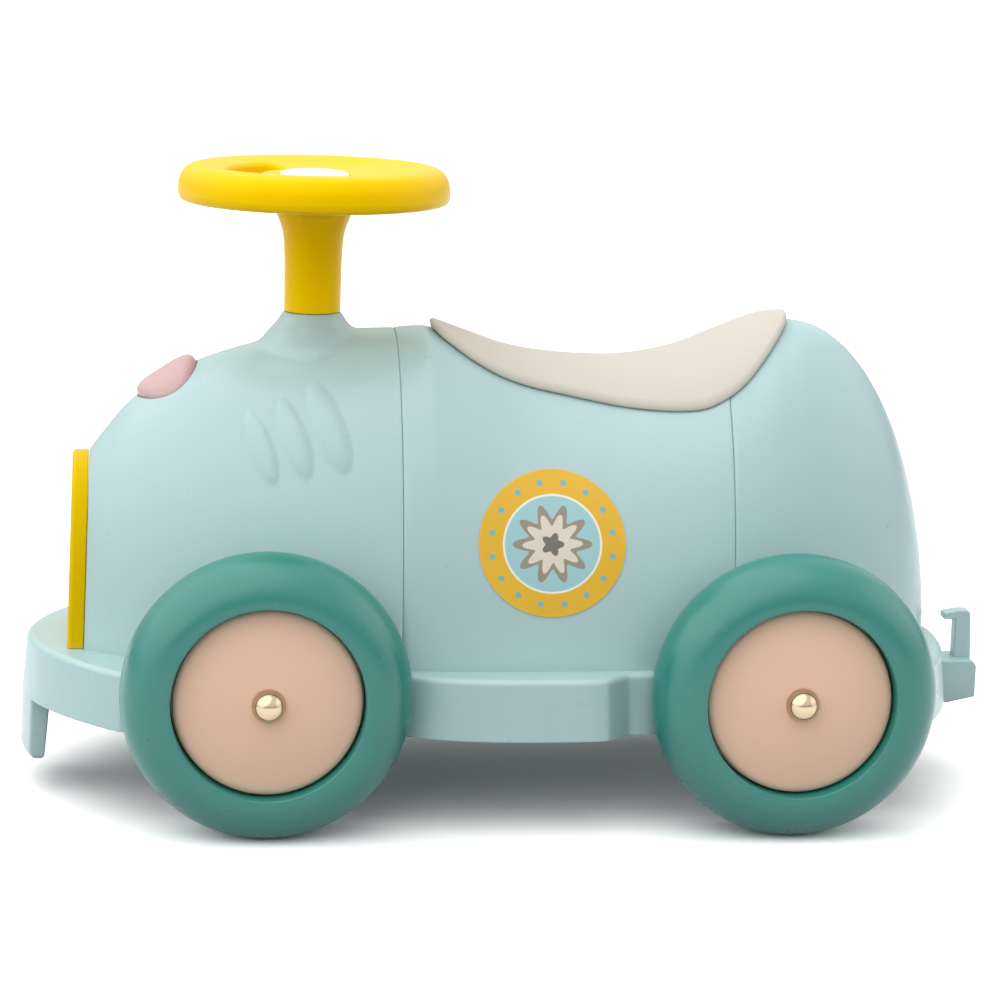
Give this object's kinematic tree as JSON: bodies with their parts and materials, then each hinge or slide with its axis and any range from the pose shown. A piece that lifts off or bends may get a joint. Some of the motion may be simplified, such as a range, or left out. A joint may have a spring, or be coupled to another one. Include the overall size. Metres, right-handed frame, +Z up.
{
  "type": "kids ride-on car",
  "caption": "Toddler's foot-to-floor ride-on car with a rounded moulded body, spinning wheels, a steering wheel, a horn button and a lift-up seat.",
  "frame": {"origin": "on the floor, under the middle of the car's bounding box", "axes": "+Z up; the car's front points to -X and its left side to -Y"},
  "size_m": [0.563, 0.31, 0.3585],
  "materials": {
    "body": "satin pale grey-blue moulding with a fine grain",
    "grille": "satin yellow moulding",
    "bin": "plain inner moulding",
    "steel": "bright steel",
    "axle_cap": "polished pale gold push-on cap",
    "tyre": "matt teal soft plastic",
    "wheel_core": "matt peach moulding",
    "wheel_disc": "satin peach moulding with radial grain",
    "steering": "satin yellow moulding",
    "steering_cap": "white cap",
    "dark_plastic": "dark grey inner parts",
    "horn_button": "satin pink moulding",
    "seat": "matt beige moulding",
    "label": "printed yellow film"
  },
  "bodies": {
    "body": {"chassis_tray": "body", "front_bumper": "body", "rear_bumper": "body", "trailer_hitch": "body", "front_shell": "body", "centre_shell": "body", "rear_shell": "body", "front_grille": "grille", "storage_bin": "bin", "shell_screw_front_left": "steel", "shell_screw_front_right": "steel", "shell_screw_centre_left": "steel", "shell_screw_centre_right": "steel", "shell_screw_rear_left": "steel", "shell_screw_rear_right": "steel", "bin_screw_front": "steel", "bin_screw_rear": "steel", "bumper_screw_front": "steel", "bumper_screw_rear": "steel", "front_axle": "steel", "rear_axle": "steel", "axle_tube_front": "dark_plastic", "axle_tube_rear": "dark_plastic", "axle_cap_front_left": "axle_cap", "axle_cap_front_right": "axle_cap", "axle_cap_rear_left": "axle_cap", "axle_cap_rear_right": "axle_cap", "column_bush": "dark_plastic", "horn_housing": "dark_plastic", "seat_hinge_pin": "steel", "side_label_left": "label", "side_label_right": "label"},
    "wheel_front_left": {"tyre_front_left": "tyre", "wheel_core_front_left": "wheel_core", "wheel_disc_front_left": "wheel_disc"},
    "wheel_front_right": {"tyre_front_right": "tyre", "wheel_core_front_right": "wheel_core", "wheel_disc_front_right": "wheel_disc"},
    "wheel_rear_left": {"tyre_rear_left": "tyre", "wheel_core_rear_left": "wheel_core", "wheel_disc_rear_left": "wheel_disc"},
    "wheel_rear_right": {"tyre_rear_right": "tyre", "wheel_core_rear_right": "wheel_core", "wheel_disc_rear_right": "wheel_disc"},
    "steering": {"steering_wheel": "steering", "steering_column": "steering", "steering_cap": "steering_cap", "steering_screw": "steel", "column_clip": "dark_plastic"},
    "horn": {"horn_button": "horn_button", "horn_spring": "steel"},
    "seat_lid": {"seat": "seat"}
  },
  "joints": [
    {"name": "wheel_front_left_spin", "type": "hinge", "parent": "body", "child": "wheel_front_left", "pos_m": [-0.14625, -0.123, 0.08], "axis": [0, 1, 0], "continuous": true},
    {"name": "wheel_front_right_spin", "type": "hinge", "parent": "body", "child": "wheel_front_right", "pos_m": [-0.14625, 0.123, 0.08], "axis": [0, 1, 0], "continuous": true},
    {"name": "wheel_rear_left_spin", "type": "hinge", "parent": "body", "child": "wheel_rear_left", "pos_m": [0.14725, -0.123, 0.08], "axis": [0, 1, 0], "continuous": true},
    {"name": "wheel_rear_right_spin", "type": "hinge", "parent": "body", "child": "wheel_rear_right", "pos_m": [0.14725, 0.123, 0.08], "axis": [0, 1, 0], "continuous": true},
    {"name": "steering_turn", "type": "hinge", "parent": "body", "child": "steering", "pos_m": [-0.117, 0, 0.3], "axis": [0, 0, 1], "continuous": true},
    {"name": "horn_press", "type": "slide", "parent": "body", "child": "horn", "axis": [0.5446, 0, -0.8387], "range_m": [0, 0.003], "stiffness_N_per_m": 600, "springref_m": -0.002},
    {"name": "seat_lift", "type": "hinge", "parent": "body", "child": "seat_lid", "pos_m": [-0.04675, 0, 0.2686], "axis": [0, -1, 0], "range_deg": [0, 70]}
  ]
}
